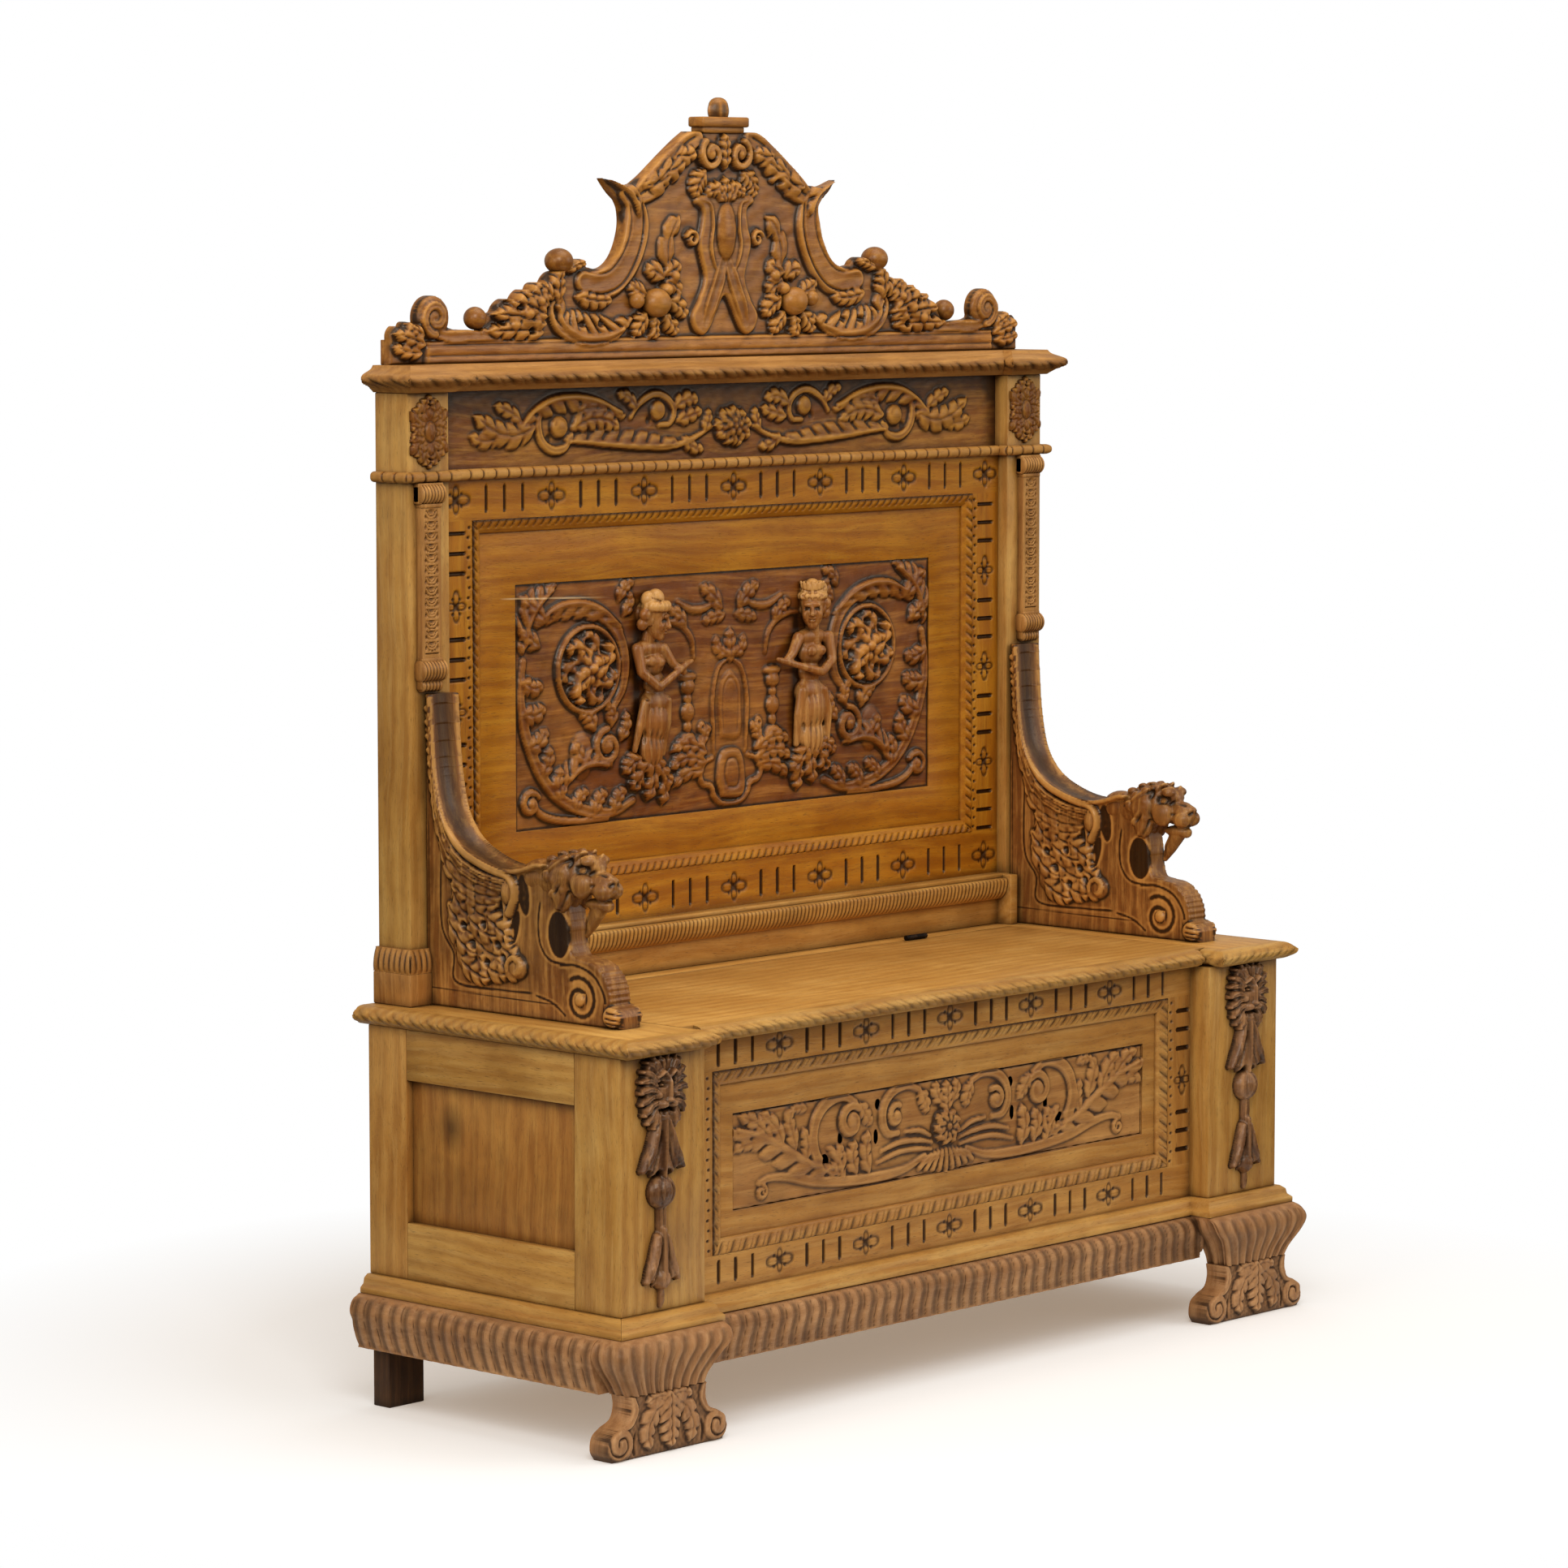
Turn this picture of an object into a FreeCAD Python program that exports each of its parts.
import FreeCAD, Part
import math
import os
from FreeCAD import Vector

# A high-backed carved walnut hall bench with a storage chest under a hinged seat.
# Millimetres. The origin is on the floor under the middle of the bench.
# +X is the bench's right as seen from the front, the front faces -Y and +Z is up.

# Plan sizes
chest_width = 1440.0
chest_depth = 495.0
back_gap = 17.0
base_bulge = 40.0
post_width = 165.0
post_depth = 88.0
front_recess = 37.0

# Heights, from the floor up
plinth_height = 165.0
cap_thickness = 26.0
chest_height = 354.0
seat_thickness = 26.0
back_height = 859.0
cornice_height = 38.0
crest_height = 382.0

# Chest joinery
frame_thickness = 26.0
front_top_rail_height = 45.0
front_bottom_rail_height = 51.0
front_stile_width = 54.0
side_thickness = 30.0
side_back_stile_width = 77.0
side_top_rail_height = 72.0
side_bottom_rail_height = 80.0
side_panel_recess = 12.0
side_panel_thickness = 10.0
chest_back_rail_height = 50.0
chest_back_rail_thickness = 22.0
chest_back_panel_thickness = 10.0
bottom_thickness = 20.0

# Panels with sunk carved fields
panel_thickness = 14.0
panel_recess = 8.0
carving_sink = 3.0
carving_thickness = 6.0
front_moulding_width = 15.0
moulding_proud = 10.0
front_border_side = 35.0
front_border_bottom = 40.0
front_border_top = 50.0
back_moulding_width = 20.0
back_border_side = 73.0
back_border_bottom = 58.0
back_border_top = 76.0

# Base
apron_thickness = 30.0
side_apron_height = 77.0
front_apron_height = 68.0
cap_overhang = 20.0
foot_thickness = 42.0
foot_toe_width = 231.0
foot_waist_width = 147.0
foot_height = 86.0
foot_front_overhang = 24.0
back_foot_width = 67.0
back_foot_depth = 33.0
back_foot_inset = 5.0
back_rail_thickness = 26.0

# Seat
seat_front_overhang = 6.0
seat_side_inset = 8.0
seat_recess_overhang = 10.0
seat_end_width = 137.0
lid_side_gap = 2.0
lid_rest_gap = 0.3
nosing_width = 24.0
back_strip_width = 98.0
batten_width = 60.0
batten_thickness = 18.0
batten_spacing = 420.0
batten_end_gap = 24.0

# Hinges
hinge_spacing = 700.0
hinge_length = 44.0
hinge_gap = 4.0
leaf_thickness = 1.5
leaf_height = 22.0
knuckle_radius = 4.0
knuckle_gap = 0.4
pin_radius = 1.6
pin_clearance = 0.05
pin_head = 1.2
screw_radius = 1.5
screw_head_radius = 3.0
screw_length = 14.0
screws_per_leaf = 3

# Upper back
back_side_inset = 37.0
stile_width = 80.0
stile_thickness = 65.0
back_frame_recess = 18.0
back_frame_thickness = 22.0
back_inner_stile_width = 62.0
sill_height = 73.0
sill_fascia_height = 39.0
sill_fascia_proud = 16.0
sill_round_proud = 38.0
sill_block_width = 14.0
sill_block_proud = 6.0
back_bottom_rail_height = 74.0
back_top_rail_height = 73.0
back_panel_height = 529.0
frieze_height = 110.0
frieze_recess = 21.0
frieze_thickness = 19.0
bead_height = 15.0
bead_proud = 13.0
pedestal_height = 80.0
pedestal_plain_height = 46.0
pedestal_proud = 12.0
pilaster_width = 48.0
pilaster_shaft_width = 38.0
pilaster_proud = 10.0
pilaster_height = 289.0
capital_height = 32.0
corbel_height = 43.0
capital_proud = 18.0
cornice_front_shift = 8.0
cornice_overhang = 27.0

# Arms
arm_length = 381.0
arm_height = 439.0
arm_plate_thickness = 40.0
arm_width = 60.0
arm_inset = 51.0

# Crest
crest_side_inset = 9.0
crest_thickness = 24.0
volute_radius = 25.0
small_ball_radius = 16.5
large_ball_radius = 20.0
cap_block_width = 100.0
cap_block_height = 19.0
finial_height = 29.0
finial_radius = 15.5

# Post drops
drop_width = 76.0
drop_height = 348.0
drop_proud = 16.0

# Relief of the back panel, measured from the floor of its field
field_ground = 1.0
figure_offset = 172.0
figure_foot_lift = 54.0
figure_height = 212.0
figure_half_width = 27.0
figure_relief = 19.0
figure_head_half_width = 18.0
figure_head_half_height = 24.0
figure_head_relief = 25.0
figure_elbow_height = 140.0
figure_arm_length = 62.0
figure_arm_slope = 0.4
figure_arm_radius = 6.0
roundel_offset = 300.0
roundel_lift = 224.0
roundel_radius = 67.0
roundel_relief = 9.0
roundel_boss_radius = 28.0
roundel_boss_relief = 19.0
scroll_radius = 24.0
scroll_relief = 9.0
cartouche_half_width = 60.0
cartouche_height = 230.0
cartouche_relief = 7.0

# Relief of the crest, measured from its face
frame_relief = 10.0
crest_band_inset = 70.0
crest_band_height = 34.0
crest_band_relief = 6.5
shield_relief = 8.0
shield_boss_half_width = 19.0
shield_boss_half_height = 42.0
shield_boss_relief = 15.0
fruit_radius = 21.0
fruit_proud = 3.0
eye_radius = 25.0
eye_relief = 14.0
bunch_half_width = 62.0
bunch_half_height = 20.0
bunch_relief = 14.0

# Cuts run past the material by this much
overrun = 5.0

# Worked-out places
depth = back_gap + chest_depth + base_bulge
back_y = depth / 2
chest_back_y = back_y - back_gap
post_front_y = chest_back_y - chest_depth
frame_front_y = post_front_y + front_recess
frame_back_y = frame_front_y + frame_thickness
chest_half = chest_width / 2
back_half_width = chest_half - back_side_inset
crest_half_width = back_half_width - crest_side_inset
post_inner_x = chest_half - post_width
side_inner_x = chest_half - side_thickness
post_back_y = post_front_y + post_depth
side_stile_y = chest_back_y - side_back_stile_width
cap_z = plinth_height
chest_z = cap_z + cap_thickness
seat_under_z = chest_z + chest_height
seat_z = seat_under_z + seat_thickness
cornice_z = seat_z + back_height
crest_z = cornice_z + cornice_height
cap_inner_y = frame_back_y
stile_inner_x = back_half_width - stile_width
arm_centre = back_half_width - arm_inset
stile_front_y = back_y - stile_thickness
back_frame_y = stile_front_y + back_frame_recess
back_frame_back_y = back_frame_y + back_frame_thickness
sill_top_z = seat_z + sill_height
back_panel_z = sill_top_z + back_bottom_rail_height
back_panel_top_z = back_panel_z + back_panel_height
back_rail_top_z = back_panel_top_z + back_top_rail_height
back_opening_x = stile_inner_x - back_inner_stile_width
seat_end_outer_x = chest_half - seat_side_inset
seat_end_inner_x = seat_end_outer_x - seat_end_width
seat_front_y = post_front_y - seat_front_overhang
lid_half_width = seat_end_inner_x - lid_side_gap
lid_front_y = frame_front_y - seat_recess_overhang
strip_front_y = back_y - back_strip_width
lid_back_y = strip_front_y - hinge_gap
hinge_y = strip_front_y - hinge_gap / 2
hinge_z = seat_z + knuckle_radius + lid_rest_gap
panel_opening_x = post_inner_x - front_stile_width
front_panel_z = chest_z + front_bottom_rail_height
front_panel_top_z = seat_under_z - front_top_rail_height

# Moulding profiles: share of the overhang outward, share of the height upward
nosing_profile_shares = [(0.33, 0.0), (0.83, 0.2), (1.0, 0.5), (0.83, 0.72), (0.42, 0.94), (0.0, 1.0)]
cap_profile_shares = [(1.0, 0.0), (1.0, 0.3), (0.7, 0.5), (0.62, 0.8), (0.3, 1.0)]
bead_profile_shares = [(0.55, 0.0), (0.92, 0.2), (1.0, 0.5), (0.92, 0.8), (0.55, 1.0)]
cornice_profile_shares = [(0.1, 0.0), (0.35, 0.14), (0.9, 0.34), (1.0, 0.5), (0.85, 0.66), (0.3, 0.85), (0.12, 1.0)]
apron_profile_shares = [(0.62, 0.0), (0.85, 0.35), (1.0, 0.68), (0.86, 0.9), (0.55, 1.0)]

# Foot block: outer, front and inner swelling as shares of the bulge, then the share of its height
block_shares = [
    (0.1, 0.6, -0.55, 0.0),
    (0.35, 0.68, -0.4, 0.2),
    (0.82, 0.9, 0.0, 0.5),
    (1.0, 1.0, 0.42, 0.72),
    (0.86, 0.86, 0.5, 0.9),
    (0.55, 0.55, 0.45, 1.0),
]

# Half of a foot: share of the half toe width, share of the foot height
foot_waist_share = foot_waist_width / foot_toe_width
foot_outline_shares = [
    [(0.0, 0.0), (0.93, 0.0)],
    [(0.93, 0.0), (1.0, 0.16), (0.97, 0.38), (0.84, 0.5)],
    [(0.84, 0.5), (foot_waist_share * 1.06, 0.6), (foot_waist_share * 0.97, 0.8), (foot_waist_share, 1.0)],
    [(foot_waist_share, 1.0), (0.0, 1.0)],
]

# Arm outline: share of the arm length forward of the back, share of the arm height
arm_outline_shares = [
    [(0.0, 0.0), (0.0, 1.0)],
    [(0.0, 1.0), (0.047, 0.998)],
    [(0.047, 0.998), (0.055, 0.886), (0.066, 0.772), (0.087, 0.67), (0.113, 0.608), (0.15, 0.563),
     (0.205, 0.526), (0.276, 0.497), (0.354, 0.476), (0.433, 0.467), (0.496, 0.472), (0.543, 0.483)],
    [(0.543, 0.483), (0.593, 0.494), (0.633, 0.502), (0.685, 0.531), (0.743, 0.542), (0.803, 0.535),
     (0.843, 0.51), (0.9, 0.487), (0.929, 0.453), (0.927, 0.412), (0.882, 0.374)],
    [(0.882, 0.374), (0.837, 0.344), (0.785, 0.271)],
    [(0.785, 0.271), (0.757, 0.319), (0.737, 0.296), (0.741, 0.25), (0.757, 0.214), (0.8, 0.205)],
    [(0.8, 0.205), (0.864, 0.196), (0.921, 0.164), (0.95, 0.116), (0.958, 0.071), (0.985, 0.06), (1.0, 0.036)],
    [(1.0, 0.036), (1.0, 0.0)],
    [(1.0, 0.0), (0.0, 0.0)],
]

# The wide upper edge and the head of an arm, as a region of the same shares
arm_wide_shares = [
    (0.0, 1.1), (0.0, 0.8), (0.03, 0.8), (0.05, 0.66), (0.09, 0.56), (0.16, 0.5), (0.26, 0.45),
    (0.36, 0.43), (0.46, 0.425), (0.56, 0.42), (0.62, 0.4), (0.68, 0.36), (0.725, 0.31), (0.78, 0.25),
    (1.0, 0.3), (1.0, 0.6), (0.5, 0.6), (0.3, 0.62), (0.15, 0.8), (0.1, 1.1),
]

# Half of the crest: share of the half width, share of the crest height
crest_outline_shares = [
    [(0.0, 0.0), (1.0, 0.0)],
    [(1.0, 0.0), (0.999, 0.073)],
    [(0.999, 0.073), (0.999, 0.115), (0.985, 0.141), (0.97, 0.131)],
    [(0.97, 0.131), (0.961, 0.154), (0.948, 0.154), (0.924, 0.145)],
    [(0.924, 0.145), (0.925, 0.184), (0.916, 0.22), (0.899, 0.244), (0.877, 0.251), (0.856, 0.24),
     (0.841, 0.213), (0.834, 0.175), (0.838, 0.137)],
    [(0.838, 0.137), (0.816, 0.126), (0.78, 0.123), (0.742, 0.118)],
    [(0.742, 0.118), (0.73, 0.147), (0.715, 0.178), (0.702, 0.186)],
    [(0.702, 0.186), (0.688, 0.217), (0.668, 0.236), (0.647, 0.223)],
    [(0.647, 0.223), (0.635, 0.251), (0.617, 0.27), (0.601, 0.257)],
    [(0.601, 0.257), (0.591, 0.288), (0.573, 0.296), (0.558, 0.283)],
    [(0.558, 0.283), (0.546, 0.314), (0.531, 0.332), (0.51, 0.34)],
    [(0.51, 0.34), (0.478, 0.361), (0.451, 0.382), (0.43, 0.369), (0.421, 0.351)],
    [(0.421, 0.351), (0.389, 0.343), (0.362, 0.356), (0.338, 0.393), (0.32, 0.45), (0.312, 0.513),
     (0.315, 0.571), (0.325, 0.605)],
    [(0.325, 0.605), (0.344, 0.631), (0.362, 0.662), (0.374, 0.688)],
    [(0.374, 0.688), (0.356, 0.678), (0.329, 0.662), (0.303, 0.657), (0.279, 0.665)],
    [(0.279, 0.665), (0.249, 0.696), (0.217, 0.738), (0.178, 0.788), (0.139, 0.835), (0.11, 0.866)],
    [(0.11, 0.866), (0.0, 0.866)],
]
volute_shares = (0.875, 0.183)
small_ball_shares = (0.749, 0.165)
large_ball_shares = (0.504, 0.374)

# Half width of a post drop as a share of its half width, at shares of its height from the top
drop_outline_shares = [
    (0.0, 0.0), (0.85, 0.02), (1.0, 0.12), (0.85, 0.22), (0.42, 0.31), (0.72, 0.42), (0.85, 0.45), (0.5, 0.56),
    (0.2, 0.63), (0.2, 0.7), (0.72, 0.8), (0.6, 0.85), (0.35, 0.9), (0.16, 0.95), (0.0, 1.0),
]

# A figure on the back panel, from its foot up: share of the height, of the half width and of the relief
figure_shares = [
    (0.0, 0.7, 0.5), (0.22, 0.68, 0.72), (0.47, 0.98, 0.95), (0.62, 0.66, 0.84), (0.78, 0.92, 1.0), (0.9, 0.95, 0.8),
    (1.0, 0.4, 0.36),
]
# Scrolls of the field: share of the half width, share of the field's height
scroll_shares = [(0.585, 0.307), (0.946, 0.107), (0.19, 0.24)]
# Half of the middle cartouche: share of its half width, share of its height
cartouche_shares = [
    (0.0, 0.0), (0.45, 0.02), (0.65, 0.13), (1.0, 0.19), (1.0, 0.28), (0.62, 0.33), (0.5, 0.45), (0.58, 0.72),
    (0.4, 0.9), (0.0, 1.0),
]

# The raised frame in the crest, one side, in the shares of the crest's outline
crest_frame_shares = [
    (0.095, 0.853), (0.172, 0.764), (0.234, 0.672), (0.276, 0.646), (0.315, 0.646), (0.36, 0.664), (0.33, 0.607),
    (0.317, 0.565), (0.313, 0.495), (0.332, 0.419), (0.359, 0.369), (0.39, 0.347), (0.418, 0.367), (0.43, 0.209),
    (0.371, 0.223), (0.297, 0.283), (0.245, 0.361), (0.223, 0.45), (0.223, 0.607), (0.065, 0.728), (0.03, 0.728),
    (0.03, 0.853),
]
# Half of the long shield, in the same shares
shield_shares = [
    (0.0, 0.67), (0.024, 0.665), (0.045, 0.628), (0.068, 0.623), (0.074, 0.592), (0.056, 0.565), (0.068, 0.44),
    (0.053, 0.304), (0.083, 0.162), (0.074, 0.115), (0.053, 0.084), (0.033, 0.115), (0.0, 0.23),
]
shield_boss_shares = (0.0, 0.482)
fruit_shares = (0.22, 0.204)
eye_shares = (0.045, 0.775)
bunch_shares = [(0.6, 0.13), (0.42, 0.15)]


def box(x0, x1, y0, y1, z0, z1):
    return Part.makeBox(x1 - x0, y1 - y0, z1 - z0, Vector(x0, y0, z0))


def both_sides(solid):
    return solid.mirror(Vector(0, 0, 0), Vector(1, 0, 0)), solid


def pair(name, solid):
    left, right = both_sides(solid)
    return {name + "_left": left, name + "_right": right}


def stretch(points):
    if len(points) == 2:
        return Part.LineSegment(points[0], points[1]).toShape()
    curve = Part.BSplineCurve()
    curve.interpolate(points)
    return curve.toShape()


def outline_prism(stretches, along):
    wire = Part.Wire([stretch(points) for points in stretches])
    return Part.Face(wire).extrude(along)


def polygon_prism(points, along):
    return Part.Face(Part.makePolygon(points + [points[0]])).extrude(along)


def stacked(plan, overhang, profile, z, height):
    wires = []
    for out_share, up_share in profile:
        level = z + height * up_share
        points = [Vector(x, y, level) for x, y in plan(overhang * out_share)]
        wires.append(Part.makePolygon(points + [points[0]]))
    return Part.makeLoft(wires, True, True)


def flat_plan(plan, offset, z0, z1):
    points = [Vector(x, y, z0) for x, y in plan(offset)]
    return polygon_prism(points, Vector(0, 0, z1 - z0))


# Plans with the ends breaking forward of the middle; each takes an outward offset
def breakfront_plan(half, inner, front, recess_front, back):
    def plan(offset):
        return [
            (-half - offset, back), (-half - offset, front - offset),
            (-inner + offset, front - offset), (-inner + offset, recess_front - offset),
            (inner - offset, recess_front - offset), (inner - offset, front - offset),
            (half + offset, front - offset), (half + offset, back),
        ]
    return plan


def mitred_frame(half_x, z0, z1, width, y0, y1):
    # four strips that meet on the diagonals of an upright opening
    outer = [(-half_x, z0), (half_x, z0), (half_x, z1), (-half_x, z1)]
    inner_x = half_x - width
    inner = [(-inner_x, z0 + width), (inner_x, z0 + width), (inner_x, z1 - width), (-inner_x, z1 - width)]
    strips = []
    for i in range(len(outer)):
        j = (i + 1) % len(outer)
        corners = [outer[i], outer[j], inner[j], inner[i]]
        strips.append(polygon_prism([Vector(x, y0, z) for x, z in corners], Vector(0, y1 - y0, 0)))
    return Part.makeCompound(strips)


# Base
def foot_centre():
    return (post_inner_x - cap_overhang + chest_half + base_bulge) / 2


def front_foot():
    centre = foot_centre()
    half = foot_toe_width / 2
    front = post_front_y - foot_front_overhang
    stretches = [[Vector(centre + half * x, front, foot_height * z) for x, z in points]
                 for points in foot_outline_shares]
    mirrored = [[Vector(centre - half * x, front, foot_height * z) for x, z in points]
                for points in foot_outline_shares]
    along = Vector(0, foot_thickness, 0)
    return outline_prism(closed_half(stretches, centre, front), along).fuse(
        outline_prism(closed_half(mirrored, centre, front), along)).removeSplitter()


def closed_half(stretches, centre, front):
    return stretches + [[Vector(centre, front, foot_height), Vector(centre, front, 0)]]


def foot_block():
    back = post_front_y - foot_front_overhang + foot_thickness
    height = plinth_height - foot_height
    wires = []
    for outer, front, inner, up in block_shares:
        x0 = post_inner_x - base_bulge * inner
        x1 = chest_half + base_bulge * outer
        y0 = post_front_y - base_bulge * front
        level = foot_height + height * up
        corners = [Vector(x0, y0, level), Vector(x1, y0, level), Vector(x1, back, level), Vector(x0, back, level)]
        wires.append(Part.makePolygon(corners + [corners[0]]))
    return Part.makeLoft(wires, True, True)


def back_foot():
    x1 = chest_half - back_foot_inset
    top = plinth_height - side_apron_height
    return box(x1 - back_foot_width, x1, chest_back_y - back_foot_depth, chest_back_y, 0, top)


def side_apron():
    front = post_front_y - foot_front_overhang + foot_thickness

    def plan(offset):
        x1 = chest_half + offset
        return [(side_inner_x, front), (x1, front), (x1, chest_back_y), (side_inner_x, chest_back_y)]
    return stacked(plan, base_bulge, apron_profile_shares, plinth_height - side_apron_height, side_apron_height)


def front_apron(blocks):
    reach = foot_centre()

    def plan(offset):
        front = frame_front_y - offset
        return [(-reach, front), (reach, front), (reach, cap_inner_y), (-reach, cap_inner_y)]
    apron = stacked(plan, apron_thickness, apron_profile_shares, plinth_height - front_apron_height,
                    front_apron_height)
    block_back = post_front_y - foot_front_overhang + foot_thickness
    for side, block in zip((-1, 1), blocks):
        apron = apron.cut(block)
        x0, x1 = sorted((side * (post_inner_x - base_bulge / 2), side * (reach + overrun)))
        apron = apron.cut(box(x0, x1, post_front_y - base_bulge, block_back, 0, plinth_height + overrun))
    return apron


def base_cap():
    plan = breakfront_plan(chest_half, post_inner_x, post_front_y, frame_front_y, chest_back_y)
    ring = stacked(plan, cap_overhang, cap_profile_shares, cap_z, cap_thickness)
    ring = ring.cut(box(-side_inner_x, side_inner_x, cap_inner_y, back_y, cap_z - overrun, chest_z + overrun))
    far = chest_half + base_bulge
    mitre = [
        (side_inner_x, back_y), (side_inner_x, post_front_y + side_thickness),
        (far, post_front_y - base_bulge), (far, back_y),
    ]
    corners = [Vector(x, y, cap_z - overrun) for x, y in mitre]
    region = polygon_prism(corners, Vector(0, 0, cap_thickness + 2 * overrun))
    left_region, right_region = both_sides(region)
    return {
        "base_cap_left": ring.common(left_region),
        "base_cap_right": ring.common(right_region),
        "base_cap_front": ring.cut(left_region).cut(right_region),
    }


def base_back_rail():
    z0 = plinth_height - side_apron_height
    return box(-side_inner_x, side_inner_x, chest_back_y - back_rail_thickness, chest_back_y, z0,
               chest_z - bottom_thickness)


def chest_bottom():
    return box(-side_inner_x, side_inner_x, cap_inner_y, chest_back_y, chest_z - bottom_thickness, chest_z)


# Chest
def front_post():
    return box(post_inner_x, chest_half, post_front_y, post_back_y, chest_z, seat_under_z)


def chest_back_stile():
    return box(side_inner_x, chest_half, side_stile_y, chest_back_y, chest_z, seat_under_z)


def side_rails():
    low = box(side_inner_x, chest_half, post_back_y, side_stile_y, chest_z, chest_z + side_bottom_rail_height)
    high = box(side_inner_x, chest_half, post_back_y, side_stile_y, seat_under_z - side_top_rail_height,
               seat_under_z)
    return Part.makeCompound([low, high])


def side_panel():
    x1 = chest_half - side_panel_recess
    return box(x1 - side_panel_thickness, x1, post_back_y, side_stile_y, chest_z + side_bottom_rail_height,
               seat_under_z - side_top_rail_height)


def front_frame_stiles():
    right = box(panel_opening_x, post_inner_x, frame_front_y, frame_back_y, front_panel_z, front_panel_top_z)
    return Part.makeCompound(both_sides(right))


def sunk_panel(half_x, z0, z1, front, border_x, border_z0, border_z1):
    # a board with a shallow field let into its face, and the carved board that fills the field
    board = box(-half_x, half_x, front, front + panel_thickness, z0, z1)
    field = (half_x - border_x, z0 + border_z0, z1 - border_z1)
    floor_y = front + carving_sink
    board = board.cut(box(-field[0], field[0], front - overrun, floor_y, field[1], field[2]))
    carving = box(-field[0], field[0], floor_y - carving_thickness, floor_y, field[1], field[2])
    return board, carving


def swelling(x, y, z, half_width, relief, half_height):
    # an egg-shaped mound about a point of the surface that carries it
    mound = Part.makeSphere(1.0)
    matrix = FreeCAD.Matrix()
    matrix.scale(half_width, relief, half_height)
    return mound.transformGeometry(matrix).translated(Vector(x, y, z))


def disc(x, y, z, radius, relief):
    return Part.makeCylinder(radius, relief, Vector(x, y, z), Vector(0, -1, 0))


def chest_back_rails():
    y0 = chest_back_y - chest_back_rail_thickness
    low = box(-side_inner_x, side_inner_x, y0, chest_back_y, chest_z, chest_z + chest_back_rail_height)
    high = box(-side_inner_x, side_inner_x, y0, chest_back_y, seat_under_z - chest_back_rail_height, seat_under_z)
    return Part.makeCompound([low, high])


def chest_back_panel():
    y0 = chest_back_y - (chest_back_rail_thickness + chest_back_panel_thickness) / 2
    return box(-side_inner_x, side_inner_x, y0, y0 + chest_back_panel_thickness,
               chest_z + chest_back_rail_height, seat_under_z - chest_back_rail_height)


def post_drop():
    centre = post_inner_x + post_width / 2
    half = drop_width / 2
    top = seat_under_z
    right = [Vector(centre + half * w, post_front_y, top - drop_height * h) for w, h in drop_outline_shares]
    left = [Vector(centre - half * w, post_front_y, top - drop_height * h) for w, h in drop_outline_shares[1:-1]]
    return polygon_prism(right + left[::-1], Vector(0, -drop_proud, 0))


# Seat
def seat_end():
    return box(seat_end_inner_x, seat_end_outer_x, seat_front_y, back_y, seat_under_z, seat_z)


def seat_nosing():
    def plan(offset):
        x0 = seat_end_inner_x - offset
        x1 = seat_end_outer_x + offset
        return [(x0, back_y), (x0, seat_front_y - offset), (x1, seat_front_y - offset), (x1, back_y)]
    rim = stacked(plan, nosing_width, nosing_profile_shares, seat_under_z, seat_thickness)
    rim = rim.cut(flat_plan(plan, 0, seat_under_z - overrun, seat_z + overrun))
    clear_y = lid_front_y - lid_side_gap
    return rim.cut(box(0, seat_end_inner_x, clear_y, back_y + overrun, seat_under_z - overrun, seat_z + overrun))


def seat_back_strip():
    return box(-seat_end_inner_x, seat_end_inner_x, strip_front_y, back_y, seat_under_z, seat_z)


def seat_lid():
    return box(-lid_half_width, lid_half_width, lid_front_y, lid_back_y, seat_under_z + lid_rest_gap, seat_z)


def lid_moulding():
    half = seat_end_inner_x - nosing_width - lid_side_gap
    height = seat_thickness - lid_rest_gap
    z0 = seat_under_z + lid_rest_gap
    edge = [Vector(-half, lid_front_y - nosing_width * out, z0 + height * up) for out, up in nosing_profile_shares]
    back_corner = [Vector(-half, lid_front_y, z0)]
    return polygon_prism(back_corner + edge, Vector(2 * half, 0, 0))


def lid_battens():
    top = seat_under_z + lid_rest_gap
    y0 = frame_back_y + batten_end_gap
    y1 = lid_back_y - batten_end_gap
    battens = []
    for centre in (-batten_spacing, 0, batten_spacing):
        battens.append(box(centre - batten_width / 2, centre + batten_width / 2, y0, y1, top - batten_thickness, top))
    return Part.makeCompound(battens)


# Hinges
def hinge_places():
    return (-hinge_spacing / 2, hinge_spacing / 2)


def knuckle_length():
    return (hinge_length - 2 * knuckle_gap) / 3


def barrel(x0, length):
    outer = Part.makeCylinder(knuckle_radius, length, Vector(x0, hinge_y, hinge_z), Vector(1, 0, 0))
    bore = Part.makeCylinder(pin_radius + pin_clearance, length + 2 * overrun,
                             Vector(x0 - overrun, hinge_y, hinge_z), Vector(1, 0, 0))
    return outer, bore


def screw_places(centre):
    step = hinge_length / screws_per_leaf
    return [centre + step * (i - (screws_per_leaf - 1) / 2) for i in range(screws_per_leaf)]


def screw(x, y, direction):
    z = seat_z - leaf_height / 2
    head = Part.makeCone(screw_head_radius, screw_radius, leaf_thickness, Vector(x, y, z), Vector(0, direction, 0))
    shank = Part.makeCylinder(screw_radius, screw_length, Vector(x, y, z), Vector(0, direction, 0))
    return head.fuse(shank).removeSplitter()


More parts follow.
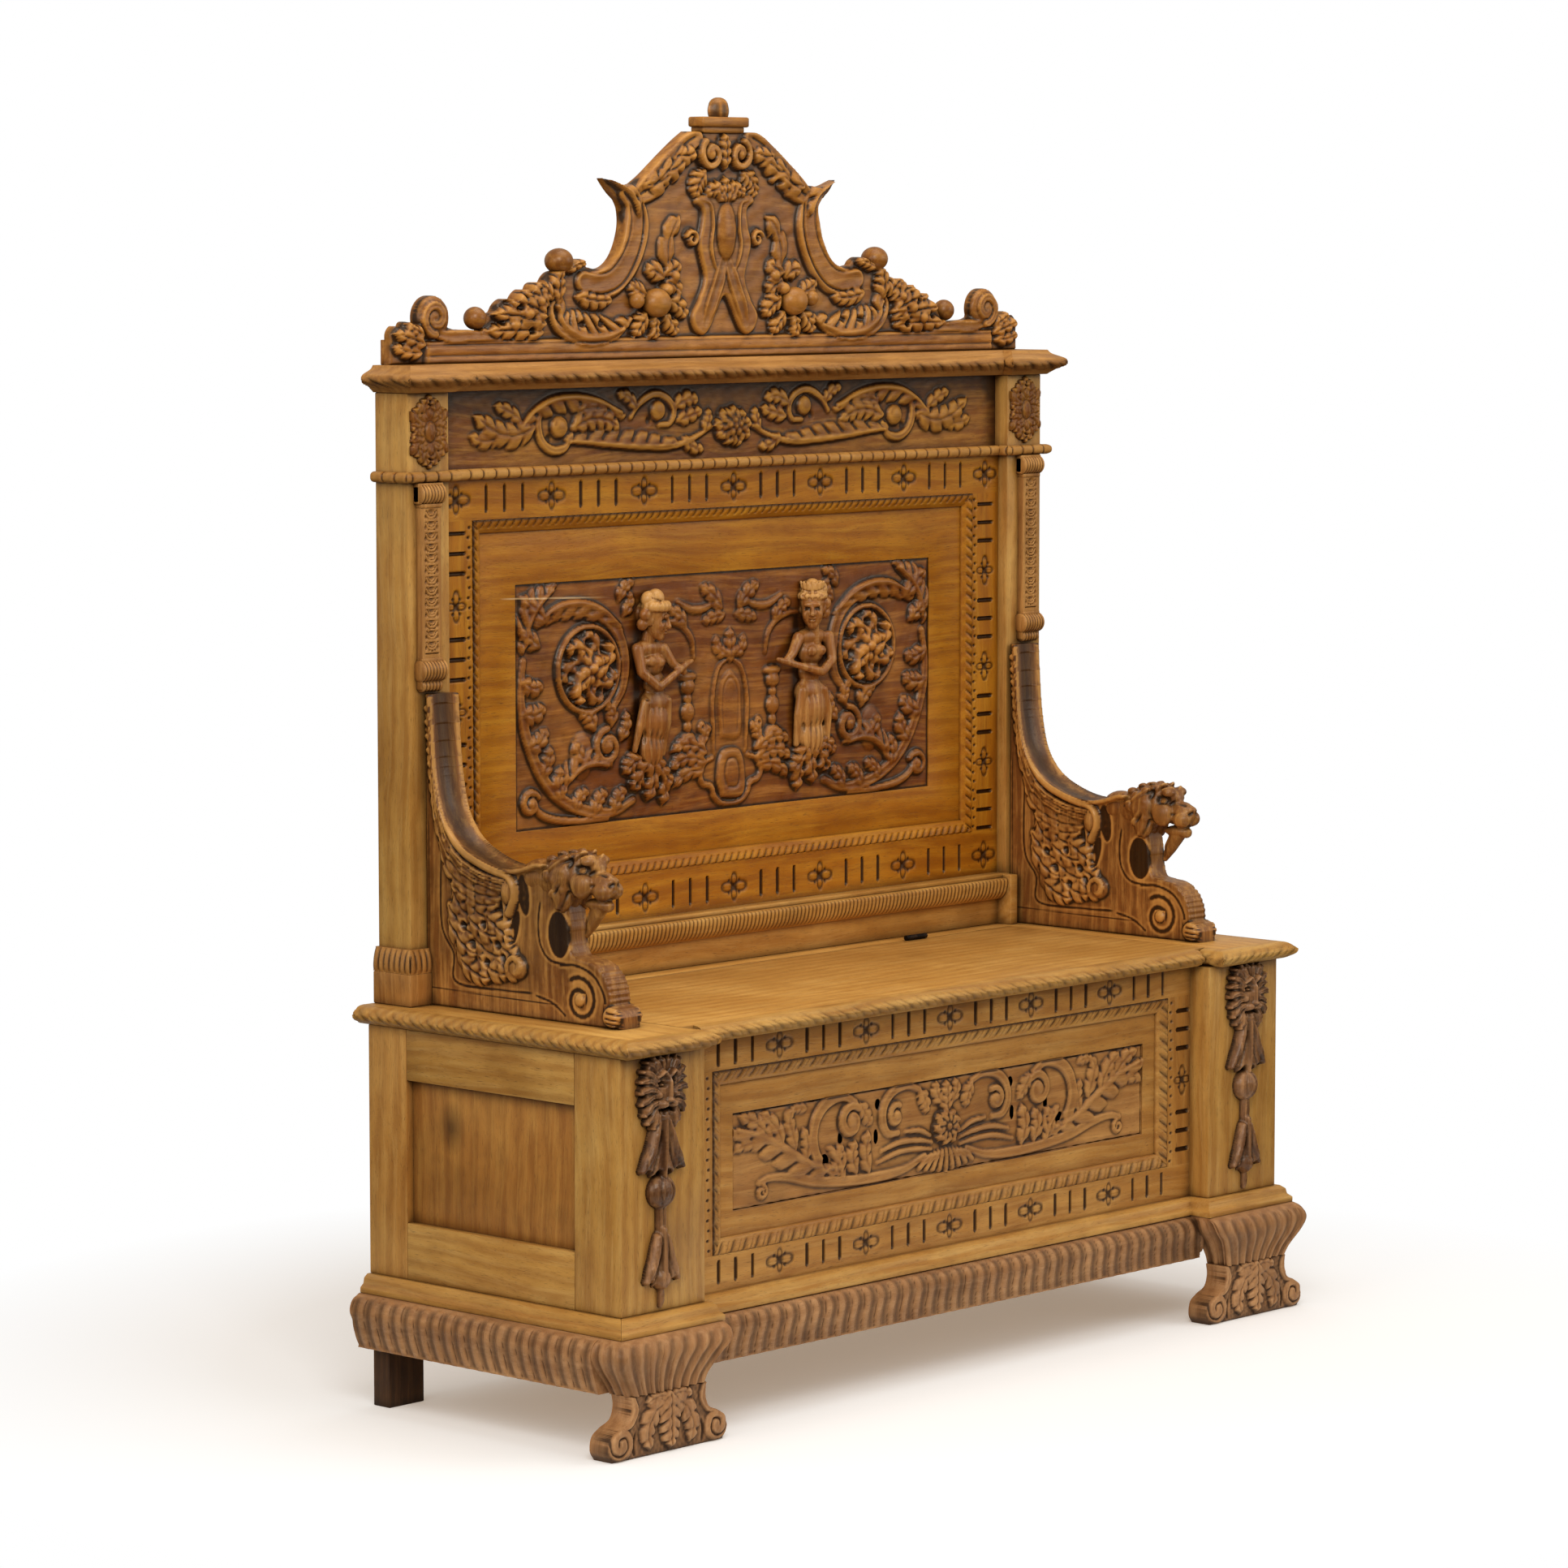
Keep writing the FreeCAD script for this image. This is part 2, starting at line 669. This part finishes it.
def leaf(centre, face_y, direction, knuckles):
    # a plate against the edge of the board, rolled over into its knuckles above the seat
    start = centre - hinge_length / 2
    y_far = face_y - direction * leaf_thickness
    y0, y1 = sorted((face_y, y_far))
    plate = box(start, start + hinge_length, y0, y1, seat_z - leaf_height, seat_z)
    bores = []
    for index in knuckles:
        x0 = start + index * (knuckle_length() + knuckle_gap)
        outer, bore = barrel(x0, knuckle_length())
        neck = box(x0, x0 + knuckle_length(), y0, y1, seat_z - leaf_thickness, hinge_z)
        plate = plate.fuse(outer).fuse(neck)
        bores.append(bore)
    for bore in bores:
        plate = plate.cut(bore)
    return plate.removeSplitter()


def hinge_set(face_y, direction, knuckles):
    leaves, screws = [], []
    for centre in hinge_places():
        plate = leaf(centre, face_y, direction, knuckles)
        for x in screw_places(centre):
            fixing = screw(x, face_y - direction * leaf_thickness, direction)
            plate = plate.cut(fixing)
            screws.append(fixing)
        leaves.append(plate)
    return Part.makeCompound(leaves), Part.makeCompound(screws)


def hinge_pins():
    pins = []
    for centre in hinge_places():
        start = centre - hinge_length / 2
        pin = Part.makeCylinder(pin_radius, hinge_length, Vector(start, hinge_y, hinge_z), Vector(1, 0, 0))
        for x in (start - pin_head, start + hinge_length):
            head = Part.makeCylinder(knuckle_radius, pin_head, Vector(x, hinge_y, hinge_z), Vector(1, 0, 0))
            pin = pin.fuse(head)
        pins.append(pin.removeSplitter())
    return Part.makeCompound(pins)


# Upper back
def back_stile():
    return box(stile_inner_x, back_half_width, stile_front_y, back_y, seat_z, cornice_z)


def stile_pedestal():
    inner = arm_centre + arm_plate_thickness / 2
    top = seat_z + pedestal_height
    plain_top = seat_z + pedestal_plain_height

    def block(proud, z0, z1, proud_top):
        wires = []
        for level, out in ((z0, proud), (z1, proud_top)):
            x1 = back_half_width + out
            y0 = stile_front_y - out
            corners = [Vector(inner, y0, level), Vector(x1, y0, level), Vector(x1, back_y, level),
                       Vector(inner, back_y, level)]
            wires.append(Part.makePolygon(corners + [corners[0]]))
        return Part.makeLoft(wires, True, True)
    lower = block(pedestal_proud, seat_z, plain_top, pedestal_proud)
    upper = block(pedestal_proud, plain_top, top, pedestal_proud / 2)
    return lower.fuse(upper).removeSplitter().cut(back_stile())


def pilaster():
    centre = stile_inner_x + stile_width / 2 + pilaster_width / 4
    half = pilaster_width / 2
    z1 = back_rail_top_z - bead_height - lid_rest_gap
    z0 = z1 - pilaster_height
    shaft_z0 = z0 + corbel_height
    shaft_z1 = z1 - capital_height
    shaft = box(centre - pilaster_shaft_width / 2, centre + pilaster_shaft_width / 2,
                stile_front_y - pilaster_proud, stile_front_y, shaft_z0, shaft_z1)

    def bracket(level_narrow, level_wide):
        wires = []
        for level, out in ((level_narrow, pilaster_proud / 2), (level_wide, capital_proud)):
            corners = [Vector(centre - half, stile_front_y - out, level),
                       Vector(centre + half, stile_front_y - out, level),
                       Vector(centre + half, stile_front_y, level), Vector(centre - half, stile_front_y, level)]
            wires.append(Part.makePolygon(corners + [corners[0]]))
        return Part.makeLoft(wires, True, True)
    return shaft, bracket(shaft_z1, z1), bracket(z0, shaft_z0)


def pilasters():
    solids = []
    for solid in pilaster():
        solids.extend(both_sides(solid))
    return Part.makeCompound(solids)


def back_frame_board(half, z0, z1):
    return box(-half, half, back_frame_y, back_frame_back_y, z0, z1)


def back_frame_stiles():
    right = box(back_opening_x, stile_inner_x, back_frame_y, back_frame_back_y, back_panel_z, back_panel_top_z)
    return Part.makeCompound(both_sides(right))


def back_sill():
    half = stile_inner_x
    fascia_y = back_frame_y - sill_fascia_proud
    round_y = back_frame_y - sill_round_proud
    fascia_top = seat_z + sill_fascia_height
    start = Vector(-half, round_y, fascia_top + (sill_top_z - fascia_top) / 3)
    end = Vector(-half, back_frame_y, sill_top_z)
    angle = math.pi / 4
    middle = Vector(-half, end.y - (end.y - start.y) * math.cos(angle), start.z + (end.z - start.z) * math.sin(angle))
    corners = [end, Vector(-half, back_frame_back_y, sill_top_z), Vector(-half, back_frame_back_y, seat_z),
               Vector(-half, fascia_y, seat_z), Vector(-half, fascia_y, fascia_top),
               Vector(-half, round_y, fascia_top), start]
    edges = [Part.LineSegment(a, b).toShape() for a, b in zip(corners, corners[1:])]
    edges.append(Part.Arc(start, middle, end).toShape())
    rail = Part.Face(Part.Wire(edges)).extrude(Vector(2 * half, 0, 0))
    block = box(half - sill_block_width, half, round_y - sill_block_proud, back_frame_y, fascia_top,
                sill_top_z + sill_block_proud)
    for solid in both_sides(block):
        rail = rail.fuse(solid)
    return rail.removeSplitter()


def bead_moulding():
    plan = breakfront_plan(back_half_width, stile_inner_x, stile_front_y, back_frame_y, back_y)
    rim = stacked(plan, bead_proud, bead_profile_shares, back_rail_top_z - bead_height, bead_height)
    return rim.cut(flat_plan(plan, 0, back_rail_top_z - bead_height - overrun, back_rail_top_z + overrun))


def frieze_panel():
    y0 = stile_front_y + frieze_recess
    return box(-stile_inner_x, stile_inner_x, y0, y0 + frieze_thickness, back_rail_top_z, cornice_z)


def cornice():
    front = stile_front_y - cornice_front_shift
    plan = breakfront_plan(back_half_width, stile_inner_x, front, front + back_frame_recess, back_y)
    return stacked(plan, cornice_overhang, cornice_profile_shares, cornice_z, cornice_height)


def back_figure(floor_y, foot_z):
    # a robed figure in half relief, with one forearm held towards the middle
    wires = []
    for up, half, relief in figure_shares:
        section = Part.Ellipse(Vector(figure_offset, floor_y, foot_z + figure_height * up),
                               figure_half_width * half, figure_relief * relief)
        wires.append(Part.Wire(section.toShape()))
    body = Part.makeLoft(wires, True, False)
    head = swelling(figure_offset, floor_y, foot_z + figure_height + figure_head_half_height / 2,
                    figure_head_half_width, figure_head_relief, figure_head_half_height)
    elbow = Vector(figure_offset, floor_y - figure_relief + figure_arm_radius, foot_z + figure_elbow_height)
    forearm = Part.makeCylinder(figure_arm_radius, figure_arm_length, elbow, Vector(-1, 0, figure_arm_slope))
    return body.fuse(head).fuse(forearm)


def back_carving(floor_y, half_x, z0, z1):
    carving = box(-half_x, half_x, floor_y - field_ground, floor_y, z0, z1)
    figure = back_figure(floor_y, z0 + figure_foot_lift)
    roundel = disc(roundel_offset, floor_y, z0 + roundel_lift, roundel_radius, roundel_relief)
    boss = swelling(roundel_offset, floor_y, z0 + roundel_lift, roundel_boss_radius, roundel_boss_relief,
                    roundel_boss_radius)
    half = figure.fuse(roundel).fuse(boss)
    for share_x, share_z in scroll_shares:
        half = half.fuse(disc(share_x * half_x, floor_y, z0 + share_z * (z1 - z0), scroll_radius, scroll_relief))
    for relief in both_sides(half):
        carving = carving.fuse(relief)
    right = [Vector(cartouche_half_width * x, floor_y, z0 + cartouche_height * z) for x, z in cartouche_shares]
    left = [Vector(-point.x, point.y, point.z) for point in right[1:-1]]
    carving = carving.fuse(polygon_prism(right + left[::-1], Vector(0, -cartouche_relief, 0)))
    return carving.common(box(-half_x, half_x, floor_y - back_frame_thickness * 2, floor_y, z0, z1))


# Crest
def crest_point(shares, y):
    return Vector(crest_half_width * shares[0], y, crest_z + crest_height * shares[1])


def crest_board():
    front = back_y - crest_thickness
    middle = back_y - crest_thickness / 2
    stretches = [[crest_point(share, front) for share in points] for points in crest_outline_shares]
    start = stretches[-1][-1]
    stretches.append([start, stretches[0][0]])
    half = outline_prism(stretches, Vector(0, crest_thickness, 0))
    volute = crest_point(volute_shares, front)
    half = half.fuse(Part.makeCylinder(volute_radius, crest_thickness, volute, Vector(0, 1, 0)))
    for shares, radius in ((small_ball_shares, small_ball_radius), (large_ball_shares, large_ball_radius)):
        ball = Part.makeSphere(radius, crest_point(shares, middle))
        room = box(0, crest_half_width, back_y - 2 * crest_thickness, back_y, crest_z, crest_z + crest_height)
        half = half.fuse(ball.common(room))
    left, right = both_sides(half)
    board = left.fuse(right)
    shoulder_share = crest_outline_shares[-1][-1][1]
    z0 = crest_z + crest_height * shoulder_share
    z1 = z0 + cap_block_height + (crest_height * (1 - shoulder_share) - cap_block_height - finial_height)
    board = board.fuse(box(-cap_block_width / 2, cap_block_width / 2, front - cap_block_height / 2, back_y, z0, z1))
    board = board.fuse(finial(middle, z1)).removeSplitter()
    return board.multiFuse(crest_relief(front)).removeSplitter()


def crest_relief(face):
    # frame, eyes, fruit, bunches of leaves, shield and foot band, each let a little into the board
    root = face + fruit_proud
    frame = polygon_prism([crest_point(share, root) for share in crest_frame_shares],
                          Vector(0, -fruit_proud - frame_relief, 0))
    eye = crest_point(eye_shares, root)
    half = [frame, disc(eye.x, eye.y, eye.z, eye_radius, fruit_proud + eye_relief),
            Part.makeSphere(fruit_radius, crest_point(fruit_shares, face - fruit_proud))]
    for shares in bunch_shares:
        place = crest_point(shares, face)
        half.append(swelling(place.x, place.y, place.z, bunch_half_width, bunch_relief, bunch_half_height))
    right_edge = [crest_point(share, root) for share in shield_shares]
    left_edge = [Vector(-point.x, point.y, point.z) for point in right_edge[1:-1]]
    shield = polygon_prism(right_edge + left_edge[::-1], Vector(0, -fruit_proud - shield_relief, 0))
    boss = crest_point(shield_boss_shares, face)
    mound = swelling(boss.x, boss.y, boss.z, shield_boss_half_width, shield_boss_relief, shield_boss_half_height)
    band_half = crest_half_width - crest_band_inset
    band = box(-band_half, band_half, face - crest_band_relief, root, crest_z, crest_z + crest_band_height)
    return [form for solid in half for form in both_sides(solid)] + [shield, mound, band]


def finial(y, z):
    # a bud turned about the upright axis, sunk to its widest part in the cap
    bud = Part.makeSphere(finial_radius, Vector(0, 0, 0))
    matrix = FreeCAD.Matrix()
    matrix.scale(1, crest_thickness / 2 / finial_radius, finial_height / finial_radius)
    bud = bud.transformGeometry(matrix)
    bud = bud.common(box(-finial_radius, finial_radius, -finial_radius, finial_radius, 0, finial_height + overrun))
    return bud.translated(Vector(0, y, z))


# Arms
def arm_point(shares, x):
    return Vector(x, stile_front_y - arm_length * shares[0], seat_z + arm_height * shares[1])


def arm_slab(width):
    x0 = arm_centre - width / 2
    stretches = [[arm_point(share, x0) for share in points] for points in arm_outline_shares]
    return outline_prism(stretches, Vector(width, 0, 0))


def arm():
    plate = arm_slab(arm_plate_thickness)
    region = polygon_prism([arm_point(share, arm_centre - arm_width) for share in arm_wide_shares],
                           Vector(2 * arm_width, 0, 0))
    return plate.fuse(arm_slab(arm_width).common(region)).removeSplitter()


def front_pieces():
    front = frame_front_y + panel_recess
    panel, carving = sunk_panel(panel_opening_x, front_panel_z, front_panel_top_z, front,
                                front_moulding_width + front_border_side,
                                front_moulding_width + front_border_bottom,
                                front_moulding_width + front_border_top)
    return {
        "front_top_rail": box(-post_inner_x, post_inner_x, frame_front_y, frame_back_y, front_panel_top_z,
                              seat_under_z),
        "front_bottom_rail": box(-post_inner_x, post_inner_x, frame_front_y, frame_back_y, chest_z, front_panel_z),
        "front_frame_stiles": front_frame_stiles(),
        "front_panel": panel,
        "front_carving": carving,
        "front_panel_moulding": mitred_frame(panel_opening_x, front_panel_z, front_panel_top_z,
                                             front_moulding_width, front - moulding_proud, front),
    }


def upper_back_pieces():
    front = back_frame_y + panel_recess
    borders = [back_moulding_width + border for border in (back_border_side, back_border_bottom, back_border_top)]
    panel = sunk_panel(back_opening_x, back_panel_z, back_panel_top_z, front, *borders)[0]
    carving = back_carving(front + carving_sink, back_opening_x - borders[0], back_panel_z + borders[1],
                           back_panel_top_z - borders[2])
    return {
        "back_bottom_rail": back_frame_board(stile_inner_x, sill_top_z, back_panel_z),
        "back_top_rail": back_frame_board(stile_inner_x, back_panel_top_z, back_rail_top_z),
        "back_frame_stiles": back_frame_stiles(),
        "back_panel": panel,
        "back_carving": carving,
        "back_panel_moulding": mitred_frame(back_opening_x, back_panel_z, back_panel_top_z,
                                            back_moulding_width, front - moulding_proud, front),
        "back_sill": back_sill(),
        "bead_moulding": bead_moulding(),
        "frieze_panel": frieze_panel(),
        "cornice": cornice(),
        "crest_board": crest_board(),
        "pilasters": pilasters(),
    }


def base_pieces():
    blocks = pair("foot_block", foot_block())
    pieces = dict(blocks)
    pieces.update(pair("front_foot", front_foot()))
    pieces.update(pair("back_foot", back_foot()))
    pieces.update(pair("side_apron", side_apron()))
    pieces["front_apron"] = front_apron(list(blocks.values()))
    pieces.update(base_cap())
    pieces["base_back_rail"] = base_back_rail()
    pieces["chest_bottom"] = chest_bottom()
    return pieces


def seat_pieces():
    strip_leaves, strip_screws = hinge_set(strip_front_y, 1, (0, 2))
    lid_leaves, lid_screws = hinge_set(lid_back_y, -1, (1,))
    pieces = pair("seat_end", seat_end())
    pieces["seat_nosings"] = Part.makeCompound(both_sides(seat_nosing()))
    pieces["seat_back_strip"] = seat_back_strip().cut(strip_screws)
    pieces["seat_lid"] = seat_lid().cut(lid_screws)
    pieces["lid_moulding"] = lid_moulding()
    pieces["lid_battens"] = lid_battens()
    pieces["hinge_strip_leaves"] = strip_leaves
    pieces["hinge_lid_leaves"] = lid_leaves
    pieces["hinge_pins"] = hinge_pins()
    pieces["hinge_strip_screws"] = strip_screws
    pieces["hinge_lid_screws"] = lid_screws
    return pieces


def chest_pieces():
    pieces = pair("front_post", front_post())
    pieces["chest_back_stiles"] = Part.makeCompound(both_sides(chest_back_stile()))
    pieces.update(pair("side_rails", side_rails()))
    pieces["side_panels"] = Part.makeCompound(both_sides(side_panel()))
    pieces.update(pair("post_drop", post_drop()))
    pieces["chest_back_rails"] = chest_back_rails()
    pieces["chest_back_panel"] = chest_back_panel()
    pieces.update(front_pieces())
    return pieces


def all_pieces():
    pieces = base_pieces()
    pieces.update(chest_pieces())
    pieces.update(seat_pieces())
    pieces.update(pair("back_stile", back_stile()))
    pieces.update(pair("stile_pedestal", stile_pedestal()))
    pieces.update(pair("arm", arm()))
    pieces.update(upper_back_pieces())
    return pieces


os.makedirs("parts", exist_ok=True)
for name, shape in all_pieces().items():
    shape.exportStep("parts/" + name + ".step")
    print(name, len(shape.Solids), shape.isValid(), round(shape.Volume))
